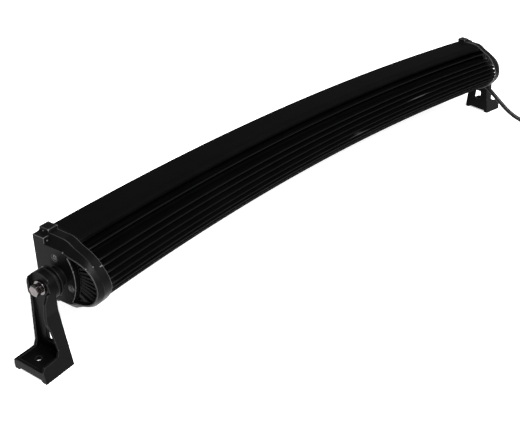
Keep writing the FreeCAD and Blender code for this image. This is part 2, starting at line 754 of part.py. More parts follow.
# ---------------------------------------------------------------- brackets
def plane_sketch(body, role, outline, offset="0"):
    """Draw a closed outline on one of the body's own origin planes.

    outline is a list of corners, each a pair of expressions, or one circle given as
    (x, y, radius).  offset moves the sketch along its normal.
    """
    sketch = body.newObject("Sketcher::SketchObject", body.Name + "_sketch")
    plane = [item for item in body.Origin.OriginFeatures if item.Role == role][0]
    sketch.AttachmentSupport = [(plane, "")]
    sketch.MapMode = "FlatFace"
    bind(sketch, **{".AttachmentOffset.Base.z": offset})
    if len(outline) == 1:
        circle = sketch.addGeometry(Part.Circle(V(1, 1, 0), V(0, 0, 1), 5))
        rules = [("DistanceX", 3, outline[0][0]), ("DistanceY", 3, outline[0][1])]
        for kind, position, text in rules:
            index = sketch.addConstraint(Sketcher.Constraint(kind, -1, 1, circle, position, 1.0))
            bind(sketch, **{"Constraints[%d]" % index: text})
        index = sketch.addConstraint(Sketcher.Constraint("Radius", circle, 5.0))
        bind(sketch, **{"Constraints[%d]" % index: outline[0][2]})
        return sketch
    spots = [V(worked_out(x), worked_out(y), 0) for x, y in outline]
    for start, end in zip(spots, spots[1:] + spots[:1]):
        sketch.addGeometry(Part.LineSegment(start, end))
    for line, (x, y) in enumerate(outline):
        before = (line - 1) % len(outline)
        sketch.addConstraint(Sketcher.Constraint("Coincident", before, 2, line, 1))
        for kind, text in (("DistanceX", x), ("DistanceY", y)):
            constraint = Sketcher.Constraint(kind, -1, 1, line, 1, worked_out(text))
            index = sketch.addConstraint(constraint)
            bind(sketch, **{"Constraints[%d]" % index: text})
    return sketch


def worked_out(text):
    """Return the number that an expression in aliases stands for."""
    numbers = filled_in(text, lambda alias: repr(size(alias)))
    return float(FreeCAD.Units.Quantity(numbers.replace(" ", "")))


def pad(body, sketch, length):
    solid = body.newObject("PartDesign::Pad", body.Name + "_pad")
    solid.Profile = sketch
    bind(solid, Length=length)
    doc.recompute()
    return solid


def pocket(body, sketch, length=None, reverse=False):
    """Cut a pocket, through everything on both sides unless it has a length."""
    before = body.Shape.Volume
    cut = body.newObject("PartDesign::Pocket", body.Name + "_pocket")
    cut.Profile = sketch
    if length is None:
        cut.Type = "ThroughAll"
        cut.Midplane = True
    else:
        bind(cut, Length=length)
        cut.Reversed = reverse
    doc.recompute()
    if not body.Shape.Volume < before:
        raise ValueError("a pocket in %s cut nothing" % body.Name)
    return cut


FLOOR = "-<centre_height>"
SIDE = "<eye_radius>"
BACK_EDGE = "<foot_back> - <pivot_depth>"


def make_bracket():
    """Model the right bracket about its pivot: x outwards, y backwards, z up."""
    body = doc.addObject("PartDesign::Body", "bracket_right")
    side_view = plane_sketch(body, "YZ_Plane", [
        ("-" + SIDE, "0"), ("-" + SIDE, FLOOR), (BACK_EDGE, FLOOR),
        (SIDE, "-<straight_drop>"), (SIDE, "0")], "<arm_in>")
    pad(body, side_view, "<foot_end> - <arm_in>")
    eye = plane_sketch(body, "YZ_Plane", [("0", "0", "<eye_radius>")], "<eye_start>")
    pad(body, eye, "<arm_in> + <arm_thick> + <rib_top> - <eye_start>")

    rib = "<arm_in> + <arm_thick> + <rib_top>"
    deep = "<arm_in> + <arm_thick> + <rib_deep>"
    profile = plane_sketch(body, "XZ_Plane", [
        (rib, "<eye_radius> + 5"), (rib, "6"), (deep + " - 2.5", "-8"), (deep, "-<straight_drop> - 8"),
        (deep + " - 2", FLOOR + " + 46"), (deep + " - 2.8", FLOOR + " + 32"),
        (deep + " - 3.4", FLOOR + " + <foot_wall> + 5"), (deep + " - 0.5", FLOOR + " + <foot_wall> + 0.5"),
        ("<foot_end> - 3", FLOOR + " + <foot_wall> - 0.5"), ("<foot_end>", FLOOR + " + <foot_wall> - 4.5"),
        ("<foot_end> + 5", FLOOR + " + <foot_wall> - 4.5"), ("<foot_end> + 5", "<eye_radius> + 5")])
    pocket(body, profile)
    # the channel down the arm, and the basin in the foot with its lower outer end
    for floor, far in (("<end_wall>", "<foot_end>"),
                       ("<foot_floor> + <foot_recess>", "<foot_end> - <rib_wall> - <arm_in> - <arm_thick>")):
        tray = plane_sketch(body, "YZ_Plane", [
            ("<rib_wall> - " + SIDE, "<eye_radius> + 5"),
            ("<rib_wall> - " + SIDE, FLOOR + " + " + floor),
            (BACK_EDGE + " - <rib_wall> - 1", FLOOR + " + " + floor),
            (SIDE + " - <rib_wall>", "-<straight_drop>"), (SIDE + " - <rib_wall>", "<eye_radius> + 5")],
            "<arm_in> + <arm_thick>")
        pocket(body, tray, far, True)
    front_rib = plane_sketch(body, "XZ_Plane", [
        (rib, "<eye_radius> + 5"), (rib, "-10"), (rib + " - 1.5", "-14"),
        (rib + " + 1.5", FLOOR + " + <front_wall> + 6"), (rib + " + 4", FLOOR + " + <front_wall>"),
        ("<foot_end> + 5", FLOOR + " + <front_wall>"), ("<foot_end> + 5", "<eye_radius> + 5")],
        SIDE + " - <rib_wall> - 0.1")
    pocket(body, front_rib, "<rib_wall> + 1", True)
    window = plane_sketch(body, "YZ_Plane", [
        ("<window_front>", FLOOR + " + <window_low>"), ("<window_front>", FLOOR + " + <window_high>"),
        ("<window_back> - 1.5", FLOOR + " + <window_high>"),
        ("<window_back>", FLOOR + " + <window_low> + 4"), ("<window_back> - 2", FLOOR + " + <window_low>")])
    pocket(body, window)
    bore = plane_sketch(body, "YZ_Plane", [("0", "0", "<bolt_radius> + <bolt_play>")])
    pocket(body, bore)
    foot_hole = plane_sketch(body, "XY_Plane", [("<foot_hole_out>", "0", "<foot_hole>")])
    pocket(body, foot_hole)
    recess = plane_sketch(body, "YZ_Plane", [
        ("<rib_wall> + 2 - " + SIDE, FLOOR + " - 1"),
        ("<rib_wall> + 3.5 - " + SIDE, FLOOR + " + <foot_recess>"),
        (BACK_EDGE + " - <rib_wall> - 3.5", FLOOR + " + <foot_recess>"),
        (BACK_EDGE + " - <rib_wall> - 2", FLOOR + " - 1")], "<arm_in> - 1")
    pocket(body, recess, "<foot_end>", True)
    body.Placement = RIGHT_END.multiply(FreeCAD.Placement(V(0, size("pivot_depth"), 0),
                                                          FreeCAD.Rotation()))
    return body


bracket = keep(make_bracket(), "bracket_right")
mirrored("bracket_left", bracket)


# ---------------------------------------------------------------- supply cord
def left_point(s, u, z):
    """Turn end-frame numbers into a point at the left end."""
    point = RIGHT_END.multVec(V(s, u, z))
    return V(-point.x, point.y, point.z)


GLAND_END = GLAND_START + GLAND_LONG
NUT_ACROSS, NUT_HIGH = 11, 4
RELIEF_LONG = 14
RELIEF_WIDE = 4.8
SEAL_THICK = 0.6
CORD = size("cord_radius")


def left_axis_piece(label, shape):
    """Place a piece drawn along +y in the end frame at the cord's exit on the left end."""
    at_exit = shape.copy()
    at_exit.translate(V(GLAND_S, 0, GLAND_Z))
    return feature(label, placed(at_exit, RIGHT_END).mirror(V(0, 0, 0), V(1, 0, 0)))


def hexagon(across, start, high):
    """Return a hexagonal prism along y with two of its flats facing x."""
    corner = across / math.sqrt(3)
    points = []
    for index in range(6):
        angle = (index + 0.5) * math.pi / 3
        points.append(V(corner * math.cos(angle), start, corner * math.sin(angle)))
    return polygon_face(points).extrude(V(0, high, 0))


def rod(radius, start, end):
    """Return a cylinder along y, about the cord's axis at its exit."""
    return Part.makeCylinder(radius, end - start, V(0, start, 0), V(0, 1, 0))


GLAND_INNER = GLAND_START + GLAND_BLIND
RELIEF_START = GLAND_END + NUT_HIGH
RELIEF_END = RELIEF_START + RELIEF_LONG
gland_body = rod(GLAND_RADIUS, GLAND_INNER, GLAND_END).fuse(hexagon(NUT_ACROSS, GLAND_END, NUT_HIGH))
left_axis_piece("cable_gland", gland_body.cut(rod(CORD + SEAL_THICK, GLAND_START, RELIEF_END)))
seal = rod(CORD + SEAL_THICK, GLAND_INNER, GLAND_END)
left_axis_piece("gland_seal", seal.cut(rod(CORD, GLAND_START, RELIEF_END)))
relief = Part.makeCone(RELIEF_WIDE, CORD + 0.5, RELIEF_LONG, V(0, RELIEF_START, 0), V(0, 1, 0))
relief = relief.cut(rod(CORD, GLAND_START, RELIEF_END + 1))
left_axis_piece("strain_relief", relief)


CUT_BACK = 0.45     # the share of the shorter run that a corner's arc takes


def rounded_path(points):
    """Return a wire of straight runs joined by arcs as large as each pair of runs allows."""
    edges = []
    last = points[0]
    for before, corner, after in zip(points, points[1:], points[2:]):
        into, out = corner - before, after - corner
        shorter = min(into.Length, out.Length)
        turn = into.getAngle(out)
        cut_back = CUT_BACK * shorter
        radius = cut_back / math.tan(turn / 2)
        print("cord radius %.0f mm" % radius)
        start = corner - into.normalize() * cut_back
        end = corner + out.normalize() * cut_back
        bisector = ((start + end) * 0.5 - corner).normalize()
        middle = corner + bisector * (radius / math.cos(turn / 2) - radius)
        edges.append(Part.LineSegment(last, start).toShape())
        edges.append(Part.Arc(start, middle, end).toShape())
        last = end
    edges.append(Part.LineSegment(last, points[-1]).toShape())
    return Part.Wire(edges)


def tube(points, radius):
    """Sweep a disc along the rounded path, and check its volume."""
    path = rounded_path(points)
    start = points[0]
    along = (points[1] - points[0]).normalize()
    disc = Part.Wire(Part.makeCircle(radius, start, along))
    swept = path.makePipeShell([disc], True, False)
    expected = math.pi * radius ** 2 * path.Length
    if abs(swept.Volume / expected - 1) > 0.01:
        raise ValueError("the cord's tube lost volume")
    print("cord tube length %.1f mm" % path.Length)
    return swept


COIL_TURN_RADIUS = 38
COIL_CENTRE = V(-423, 155, 0)
COIL_HIGH = 4 * CORD + 0.5
COIL_SPARE = 0.5
CORD_ROUTE = [
    left_point(GLAND_S, GLAND_START + 4, GLAND_Z),
    left_point(GLAND_S, 46, GLAND_Z),
    left_point(GLAND_S, 59, GLAND_Z - 6),
    V(-421, 55, 33.5),
    V(-424, 71, 20),
    V(-428, 86, 10.5),
    V(-433, 100, 5),
    V(-440, 113, CORD + 0.1),
    V(-449, 126, CORD + 0.1),
    V(-457.5, 138, CORD + 0.1),
]
feature("cable", tube(CORD_ROUTE, CORD))
ring = Part.makeCylinder(COIL_TURN_RADIUS + CORD + COIL_SPARE, COIL_HIGH, COIL_CENTRE)
ring = ring.cut(Part.makeCylinder(COIL_TURN_RADIUS - CORD - COIL_SPARE, COIL_HIGH, COIL_CENTRE))

TAIL_TURN = -14
TAIL_ROUTE = [
    COIL_CENTRE + V(4, COIL_TURN_RADIUS, 10.6),
    COIL_CENTRE + V(22, COIL_TURN_RADIUS - 0.8, 9.8),
    COIL_CENTRE + V(40, COIL_TURN_RADIUS - 4, 8.3),
    COIL_CENTRE + V(57, COIL_TURN_RADIUS - 8.3, 8),
]
tail = tube(TAIL_ROUTE, CORD)
coil = ring.cut([doc.getObject("cable").Shape, tail])
feature("cable_coil", coil)
feature("cable_tail", tail.cut(ring.fuse(Part.makeCylinder(
    COIL_TURN_RADIUS, COIL_HIGH, COIL_CENTRE))).Solids[0])

PLUG_LONG, PLUG_WIDE, PLUG_HIGH = 34, 17, 16
NECK_LONG = 9
PIN_RADIUS = 0.9
plug_place = FreeCAD.Placement(TAIL_ROUTE[-1] - V(0, 0, PLUG_HIGH / 2),
                               FreeCAD.Rotation(V(0, 0, 1), TAIL_TURN))
plug = Part.makeBox(PLUG_LONG, PLUG_WIDE, PLUG_HIGH, V(0, -PLUG_WIDE / 2, 0))
plug = plug.makeFillet(2, plug.Edges)
neck = Part.makeCylinder(CORD + 1.8, NECK_LONG + 2, V(-NECK_LONG, 0, PLUG_HIGH / 2), V(1, 0, 0))
plug = plug.fuse(neck)
socket = Part.makeBox(14, PLUG_WIDE - 5, PLUG_HIGH - 5, V(PLUG_LONG - 13, 2.5 - PLUG_WIDE / 2, 2.5))
neck_bore = Part.makeCylinder(CORD, NECK_LONG + 1, V(-NECK_LONG - 1, 0, PLUG_HIGH / 2), V(1, 0, 0))
plug = placed(plug.cut([socket, neck_bore]), plug_place)
feature("connector", plug.cut(tail))
pins = []
for pin_y in (-2.6, 2.6):
    pin = Part.makeCylinder(PIN_RADIUS, 11, V(PLUG_LONG - 13, pin_y, PLUG_HIGH / 2), V(1, 0, 0))
    pins.append(placed(pin, plug_place))
feature("connector_pins", Part.makeCompound(pins))


# ---------------------------------------------------------------- write the files
doc.recompute()
for obj in doc.Objects:
    if "Invalid" in obj.State or "Error" in obj.State:
        raise ValueError("%s failed: %s" % (obj.Name, obj.State))
for node in nodes:
    shape = node.Shape
    if shape.isNull() or not shape.isValid() or not shape.Solids:
        raise ValueError("%s has no sound solid" % node.Label)
os.makedirs("parts", exist_ok=True)
for node in nodes:
    node.Shape.exportStep(os.path.join("parts", node.Label + ".step"))
    box = node.Shape.BoundBox
    print("%-20s %9.0f mm3  x %.1f..%.1f  y %.1f..%.1f  z %.1f..%.1f" % (
        node.Label, node.Shape.Volume, box.XMin, box.XMax, box.YMin, box.YMax, box.ZMin, box.ZMax))
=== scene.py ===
import json
import math

import bmesh
import bpy
from mathutils import Matrix, Vector

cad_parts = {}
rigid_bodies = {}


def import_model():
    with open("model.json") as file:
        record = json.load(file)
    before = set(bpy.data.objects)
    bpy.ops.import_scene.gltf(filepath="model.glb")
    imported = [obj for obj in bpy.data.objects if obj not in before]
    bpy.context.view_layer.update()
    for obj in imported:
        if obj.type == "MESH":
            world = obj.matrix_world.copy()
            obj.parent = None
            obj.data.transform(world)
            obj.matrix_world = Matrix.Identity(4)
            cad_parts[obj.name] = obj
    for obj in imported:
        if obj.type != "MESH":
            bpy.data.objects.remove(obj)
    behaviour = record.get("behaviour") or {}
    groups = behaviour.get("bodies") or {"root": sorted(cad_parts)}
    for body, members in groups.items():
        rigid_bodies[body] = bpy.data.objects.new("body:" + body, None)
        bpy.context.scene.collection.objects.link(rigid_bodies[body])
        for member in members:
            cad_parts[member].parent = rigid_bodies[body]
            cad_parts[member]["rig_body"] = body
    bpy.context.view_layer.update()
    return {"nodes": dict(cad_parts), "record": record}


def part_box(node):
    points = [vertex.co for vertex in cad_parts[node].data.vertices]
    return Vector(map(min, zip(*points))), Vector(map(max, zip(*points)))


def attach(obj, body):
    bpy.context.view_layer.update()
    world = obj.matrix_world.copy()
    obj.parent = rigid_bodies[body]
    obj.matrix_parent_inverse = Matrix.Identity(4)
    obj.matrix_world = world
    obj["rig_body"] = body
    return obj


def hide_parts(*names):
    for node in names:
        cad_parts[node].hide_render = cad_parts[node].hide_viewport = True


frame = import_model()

MM = 0.001
NODES = frame["nodes"]
SLOTS = {part["node"]: part["material_slot"] for part in frame["record"]["subparts"]}

# ---------------------------------------------------------------- the bar's arc and its ends
ARC_RADIUS = 2.93
HALF_ANGLE = math.radians(8.15)
SAGITTA = ARC_RADIUS * (1 - math.cos(HALF_ANGLE))
BACK_DEPTH = 0.0791
FRONT_Y = -(SAGITTA + BACK_DEPTH * math.cos(HALF_ANGLE)) / 2
MIDDLE_Z = 0.08375
AXIS_Y = FRONT_Y + ARC_RADIUS


def on_arc(angle, u, z):
    """Return the point at an angle along the bar, u behind its front plane."""
    reach = ARC_RADIUS - u
    return Vector((reach * math.sin(angle), AXIS_Y - reach * math.cos(angle), MIDDLE_Z + z))


def end_matrix(side):
    """Return the end frame's matrix: x outwards, y backwards, z up."""
    out = Vector((side * math.cos(HALF_ANGLE), math.sin(HALF_ANGLE), 0))
    back = Vector((-side * math.sin(HALF_ANGLE), math.cos(HALF_ANGLE), 0))
    matrix = Matrix((out, back, (0, 0, 1))).transposed().to_4x4()
    matrix.translation = on_arc(side * HALF_ANGLE, 0, 0)
    return matrix


ENDS = {"right": end_matrix(1), "left": end_matrix(-1)}


# ---------------------------------------------------------------- camera
def add_camera():
    """Set the camera where the object was seen from."""
    yaw, pitch, roll = -2.42719, -0.534233, 0.0225314
    level_reach = math.cos(pitch)
    ahead = Vector((level_reach * math.cos(yaw), level_reach * math.sin(yaw), math.sin(pitch)))
    level = ahead.cross(Vector((0, 0, 1))).normalized()
    up = level.cross(ahead)
    right = math.cos(roll) * level + math.sin(roll) * up
    top = math.cos(roll) * up - math.sin(roll) * level
    data = bpy.data.cameras.new("camera")
    data.sensor_fit = "HORIZONTAL"
    data.sensor_width = 36
    data.lens = 51.43
    data.clip_start = 0.01
    camera = bpy.data.objects.new("camera", data)
    matrix = Matrix((right, top, -ahead)).transposed().to_4x4()
    matrix.translation = Vector((0.730987, 0.526435, 0.502759))
    camera.matrix_world = matrix
    bpy.context.scene.collection.objects.link(camera)
    bpy.context.scene.camera = camera


add_camera()


# ---------------------------------------------------------------- materials
def material(name):
    """Return a new node material, its node tree and its shader."""
    mat = bpy.data.materials.new(name)
    mat.use_nodes = True
    tree = mat.node_tree
    return mat, tree, tree.nodes["Principled BSDF"]


def node(tree, kind, **values):
    """Add a node; values set its properties, or its sockets when they are named with in_."""
    made = tree.nodes.new(kind)
    for key, value in values.items():
        if key.startswith("in_"):
            made.inputs[key[3:].replace("_", " ")].default_value = value
        else:
            setattr(made, key, value)
    return made


def noise(tree, scale, detail=3.0, rough=0.5, stretch=(1, 1, 1)):
    """Return the factor of a noise in the object's own metres."""
    coord = node(tree, "ShaderNodeTexCoord")
    mapping = node(tree, "ShaderNodeMapping")
    mapping.inputs["Scale"].default_value = stretch
    tree.links.new(coord.outputs["Object"], mapping.inputs["Vector"])
    tex = node(tree, "ShaderNodeTexNoise", in_Scale=scale, in_Detail=detail, in_Roughness=rough)
    tree.links.new(mapping.outputs["Vector"], tex.inputs["Vector"])
    return tex.outputs["Fac"]


def ranged(tree, factor, low, high, start=0.3, end=0.7):
    """Map a factor between two numbers."""
    made = node(tree, "ShaderNodeMapRange")
    made.inputs["From Min"].default_value = start
    made.inputs["From Max"].default_value = end
    made.inputs["To Min"].default_value = low
    made.inputs["To Max"].default_value = high
    tree.links.new(factor, made.inputs["Value"])
    return made.outputs["Result"]


def blended(tree, factor, first, second):
    """Mix two colours, each a tuple or a socket, by a factor socket."""
    made = node(tree, "ShaderNodeMix", data_type="RGBA")
    tree.links.new(factor, made.inputs[0])
    for index, colour in ((6, first), (7, second)):
        if isinstance(colour, tuple):
            made.inputs[index].default_value = (*colour, 1)
        else:
            tree.links.new(colour, made.inputs[index])
    return made.outputs[2]


def bumped(tree, height, strength, distance, normal=None):
    made = node(tree, "ShaderNodeBump", in_Strength=strength, in_Distance=distance)
    tree.links.new(height, made.inputs["Height"])
    if normal is not None:
        tree.links.new(normal, made.inputs["Normal"])
    return made.outputs["Normal"]


def finish(name, colour, other, rough, metallic=0.0, specular=0.5, grain=900.0, grain_high=0.06,
           patch=30.0, painted_edge_highlight=None, painted_edge_highlight_from=0.53, painted_edge_highlight_to=0.6, stretch=(1, 1, 1), pits=None):
    """Return a material: two near colours in patches, uneven gloss, fine grain and a painted highlight
    that lightens convex edges.
    """
    mat, tree, shader = material(name)
    patches = noise(tree, patch, 4.0, 0.6)
    base = blended(tree, ranged(tree, patches, 0.0, 1.0), colour, other)
    # Painted highlight: convex edges, found by pointiness, get a lighter colour that stands in for the
    # light they catch.
    if painted_edge_highlight is not None:
        edge = node(tree, "ShaderNodeNewGeometry").outputs["Pointiness"]
        edge_highlight_mask = ranged(tree, edge, 0.0, 1.0, painted_edge_highlight_from, painted_edge_highlight_to)
        base = blended(tree, edge_highlight_mask, base, painted_edge_highlight)
    tree.links.new(base, shader.inputs["Base Color"])
    fine = noise(tree, grain, 2.0, 0.5, stretch)
    both = node(tree, "ShaderNodeMath", operation="ADD")
    tree.links.new(ranged(tree, patches, rough[0] - 0.03, rough[0] + 0.03), both.inputs[0])
    tree.links.new(ranged(tree, fine, 0.0, rough[1] - rough[0]), both.inputs[1])
    tree.links.new(both.outputs[0], shader.inputs["Roughness"])
    normal = bumped(tree, fine, 1.0, grain_high * MM)
    if pits is not None:
        normal = bumped(tree, noise(tree, pits[0], 2.0, 0.5), 1.0, pits[1] * MM, normal)
    tree.links.new(normal, shader.inputs["Normal"])
    shader.inputs["Metallic"].default_value = metallic
    shader.inputs["Specular IOR Level"].default_value = specular
    return mat


def make_materials():
    """Return the materials by slot."""
    # The edge colours given below are painted highlights that lighten the convex edges.
    made = {
        "housing": finish("powder_coat", (0.0009, 0.0009, 0.0010), (0.0016, 0.0016, 0.0017),
                          (0.58, 0.72),
                          specular=0.02, grain=1500, grain_high=0.035, patch=22, pits=(420, 0.05),
                          painted_edge_highlight=(0.035, 0.035, 0.036), painted_edge_highlight_from=0.53, painted_edge_highlight_to=0.68),
        "cap": finish("cast_coat", (0.0012, 0.0012, 0.0013), (0.0022, 0.0022, 0.0023), (0.34, 0.48),
                      specular=0.045, grain=1300, grain_high=0.03, patch=40, pits=(350, 0.06),
                      painted_edge_highlight=(0.085, 0.085, 0.087), painted_edge_highlight_from=0.511, painted_edge_highlight_to=0.55),
        "bracket": finish("cast_coat_bracket", (0.0010, 0.0010, 0.0011), (0.0019, 0.0019, 0.0020),
                          (0.36, 0.50),
                          specular=0.035, grain=1300, grain_high=0.03, patch=45, pits=(350, 0.06),
                          painted_edge_highlight=(0.028, 0.028, 0.029), painted_edge_highlight_from=0.515, painted_edge_highlight_to=0.57),
        "board": finish("white_board", (0.78, 0.79, 0.78), (0.70, 0.72, 0.71), (0.30, 0.40),
                        patch=60),
        "chip": finish("phosphor", (0.90, 0.68, 0.08), (0.85, 0.60, 0.05), (0.18, 0.28), patch=300),
        "reflector": finish("metallised", (0.44, 0.44, 0.45), (0.38, 0.38, 0.39), (0.08, 0.16),
                            metallic=1.0,
                            grain=500, grain_high=0.002, patch=50),
        "silicone": finish("silicone", (0.012, 0.012, 0.012), (0.020, 0.020, 0.020), (0.45, 0.55)),
        "rubber": finish("rubber", (0.0016, 0.0016, 0.0017), (0.0030, 0.0030, 0.0031), (0.36, 0.50),
                         specular=0.10,
                         grain=1700, grain_high=0.03, painted_edge_highlight=(0.09, 0.09, 0.09), painted_edge_highlight_from=0.53,
                         painted_edge_highlight_to=0.64),
        "steel_screw": finish("zinc", (0.52, 0.53, 0.55), (0.44, 0.46, 0.50), (0.28, 0.40),
                              metallic=1.0),
        "black_screw": finish("black_oxide", (0.010, 0.010, 0.011), (0.018, 0.018, 0.020),
                              (0.24, 0.36),
                              specular=0.6, grain=2500, grain_high=0.012, patch=250,
                              painted_edge_highlight=(0.16, 0.16, 0.165), painted_edge_highlight_from=0.55, painted_edge_highlight_to=0.70),
        "stainless": finish("stainless", (0.15, 0.125, 0.122), (0.09, 0.085, 0.09), (0.16, 0.30),
                            metallic=1.0,
                            grain=2500, grain_high=0.012, patch=200, pits=(700, 0.012)),
        "driver_part": finish("driver_part", (0.05, 0.05, 0.06), (0.08, 0.08, 0.09), (0.35, 0.50)),
        "wire": finish("wire", (0.45, 0.03, 0.02), (0.38, 0.02, 0.02), (0.30, 0.40)),
        "vent": finish("nylon_vent", (0.006, 0.006, 0.006), (0.010, 0.010, 0.010), (0.38, 0.50),
                       specular=0.30),
        "gland": finish("nylon_gland", (0.005, 0.005, 0.005), (0.009, 0.009, 0.009), (0.34, 0.48),
                        specular=0.30,
                        painted_edge_highlight=(0.04, 0.04, 0.04)),
        "cord_rubber": finish("relief_rubber", (0.004, 0.004, 0.004), (0.007, 0.007, 0.007),
                              (0.42, 0.55),
                              specular=0.30),
        "cord": finish("cord_sheath", (0.0012, 0.0012, 0.0013), (0.0024, 0.0024, 0.0025),
                       (0.28, 0.40),
                       specular=0.12, grain=1200, grain_high=0.02, patch=60),
        "connector": finish("connector_nylon", (0.007, 0.007, 0.008), (0.012, 0.012, 0.013),
                            (0.34, 0.46),
                            specular=0.35, painted_edge_highlight=(0.04, 0.04, 0.04)),
        "tin": finish("tin", (0.72, 0.70, 0.66), (0.62, 0.60, 0.57), (0.22, 0.32), metallic=1.0),
        "package": finish("white_package", (0.80, 0.80, 0.77), (0.72, 0.72, 0.70), (0.30, 0.40),
                          patch=300),
    }
    mat, tree, shader = material("clear_lens")
    clouds = noise(tree, 25, 3.0)
    tree.links.new(ranged(tree, clouds, 0.02, 0.07), shader.inputs["Roughness"])
    tint = blended(tree, clouds, (0.93, 0.96, 0.97), (0.96, 0.98, 0.98))
    tree.links.new(tint, shader.inputs["Base Color"])
    shader.inputs["Transmission Weight"].default_value = 1.0
    shader.inputs["IOR"].default_value = 1.5
    made["lens"] = mat
    return made


MATERIALS = make_materials()


# ---------------------------------------------------------------- helpers for pieces
def stand_in(obj, *replaced, beside=None, look=None):
    """Let a piece stand for CAD nodes, or lie beside one: its body, slot and finish."""
    model = beside or replaced[0]
    slot = SLOTS[model]
    obj.data.materials.clear()
    obj.data.materials.append(MATERIALS[look or slot])
    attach(obj, NODES[model]["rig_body"])
    if replaced:
        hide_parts(*replaced)
    return obj


def mesh_object(name, verts, faces, sharp=35):
    """Make a smooth-shaded mesh object with flat large faces."""
    mesh = bpy.data.meshes.new(name)
    mesh.from_pydata([tuple(v) for v in verts], [], faces)
    return linked(name, mesh, sharp)


def linked(name, mesh, sharp=35, weighted=True):
    bm = bmesh.new()
    bm.from_mesh(mesh)
    bmesh.ops.recalc_face_normals(bm, faces=bm.faces)
    for edge in bm.edges:
        edge.smooth = len(edge.link_faces) != 2 or edge.calc_face_angle() < math.radians(sharp)
    for face in bm.faces:
        face.smooth = True
    bm.to_mesh(mesh)
    bm.free()
    obj = bpy.data.objects.new(name, mesh)
    bpy.context.scene.collection.objects.link(obj)
    if weighted:
        modifier = obj.modifiers.new("weighted", "WEIGHTED_NORMAL")
        modifier.keep_sharp = True
    return obj


def rounded(points, radius, steps=3, least=25):
    """Round the corners of a closed 2-D outline that turn by more than some degrees."""
    out = []
    count = len(points)
    for index, corner in enumerate(points):
        before, after = points[index - 1], points[(index + 1) % count]
        into, leaving = corner - before, after - corner
        turn = into.angle(leaving, 0)
        if math.degrees(turn) < least:
            out.append(corner)
            continue
        cut = min(radius * math.tan(turn / 2), 0.48 * into.length, 0.48 * leaving.length)
        start, end = corner - into.normalized() * cut, corner + leaving.normalized() * cut
        for step in range(steps + 1):
            t = step / steps
            out.append(start * (1 - t) ** 2 + corner * 2 * t * (1 - t) + end * t ** 2)
    return out


def cleaned(node_name):
    """Return a CAD node's mesh as a bmesh with its corners joined."""
    bm = bmesh.new()
    bm.from_mesh(NODES[node_name].data)
    bmesh.ops.remove_doubles(bm, verts=bm.verts, dist=0.002 * MM)
    return bm


def applied(obj):
    """Return the mesh of an object with its modifiers applied, and remove the object."""
    graph = bpy.context.evaluated_depsgraph_get()
    mesh = bpy.data.meshes.new_from_object(obj.evaluated_get(graph))
    bpy.data.objects.remove(obj)
    return mesh


def cast(name, voxel, smoothing, kept, sharp=50):
    """Make a cast or moulded copy of a CAD node, its edges softly rounded."""
    bm = cleaned(name)
    mesh = bpy.data.meshes.new(name + "_raw")
    bm.to_mesh(mesh)
    bm.free()
    raw = bpy.data.objects.new(name + "_raw", mesh)
    bpy.context.scene.collection.objects.link(raw)
    remesh = raw.modifiers.new("remesh", "REMESH")
    remesh.mode = "VOXEL"
    remesh.voxel_size = voxel * MM
    smooth = raw.modifiers.new("smooth", "SMOOTH")
    smooth.factor = 0.5
    smooth.iterations = smoothing
    if kept < 1:
        decimate = raw.modifiers.new("decimate", "DECIMATE")
        decimate.ratio = kept
    obj = linked(name + "_cast", applied(raw), sharp, weighted=False)
    return stand_in(obj, name)


# ---------------------------------------------------------------- housing
def end_outline(node_name):
    """Return the longest closed outline of a node's right end face, in (u, z)."""
    bm = cleaned(node_name)
    out = ENDS["right"].to_3x3() @ Vector((1, 0, 0))
    inverse = ENDS["right"].inverted()
    nearest = -3 * MM
    flat = set(face for face in bm.faces
               if face.normal.dot(out) > 0.999 and (inverse @ face.calc_center_median()).x > nearest)
    border = {}
    for face in flat:
        for loop in face.loops:
            if not any(other in flat for other in loop.edge.link_faces if other is not face):
                border[loop.vert] = loop.link_loop_next.vert
    outlines = []
    while border:
        vert, following = border.popitem()
        line = [vert]
        while following in border:
            line.append(following)
            following = border.pop(following)
        outlines.append(line)
    line = max(outlines, key=len)
    points = []
    for vert in line:
        reach = math.hypot(vert.co.x, vert.co.y - AXIS_Y)
        points.append(Vector((ARC_RADIUS - reach, vert.co.z - MIDDLE_Z)))
    bm.free()
    return points


def swept(name, outline, start, end, steps):
    """Sweep a closed (u, z) outline along the arc, and close both ends."""
    count = len(outline)
    verts, faces = [], []
    for step in range(steps + 1):
        angle = start + (end - start) * step / steps
        verts += [on_arc(angle, u, z) for u, z in outline]
    for step in range(steps):
        for index in range(count):
            a = step * count + index
            b = step * count + (index + 1) % count
            faces.append((a, b, b + count, a + count))
    mesh = bpy.data.meshes.new(name)
    mesh.from_pydata([tuple(v) for v in verts], [], faces)
    bm = bmesh.new()
    bm.from_mesh(mesh)
    for ring in (range(count), range(steps * count, (steps + 1) * count)):
        bm.verts.ensure_lookup_table()
        edges = [bm.edges.get((bm.verts[a], bm.verts[b]))
                 for a, b in zip(ring, list(ring)[1:] + list(ring)[:1])]
        bmesh.ops.triangle_fill(bm, edges=edges, use_beauty=True)
    bm.to_mesh(mesh)
    bm.free()
    return linked(name, mesh)


def make_housing():
    outline = end_outline("housing")
    angle = HALF_ANGLE - 1.1 * MM / ARC_RADIUS
    body = swept("housing_extrusion", rounded(outline, 0.6 * MM), -angle, angle, 64)
    stand_in(body, "housing")


# ---------------------------------------------------------------- supply cord
CORD_RADIUS = 3.5
GLAND_S, GLAND_Z = 14, -30.5
COIL_CENTRE = Vector((-423, 155, 0))
COIL_RADIUS = 38
COIL_STEPS = 20


def left_point(s, u, z):
    return (ENDS["left"] @ (Vector((s, u, z)) * MM)) / MM


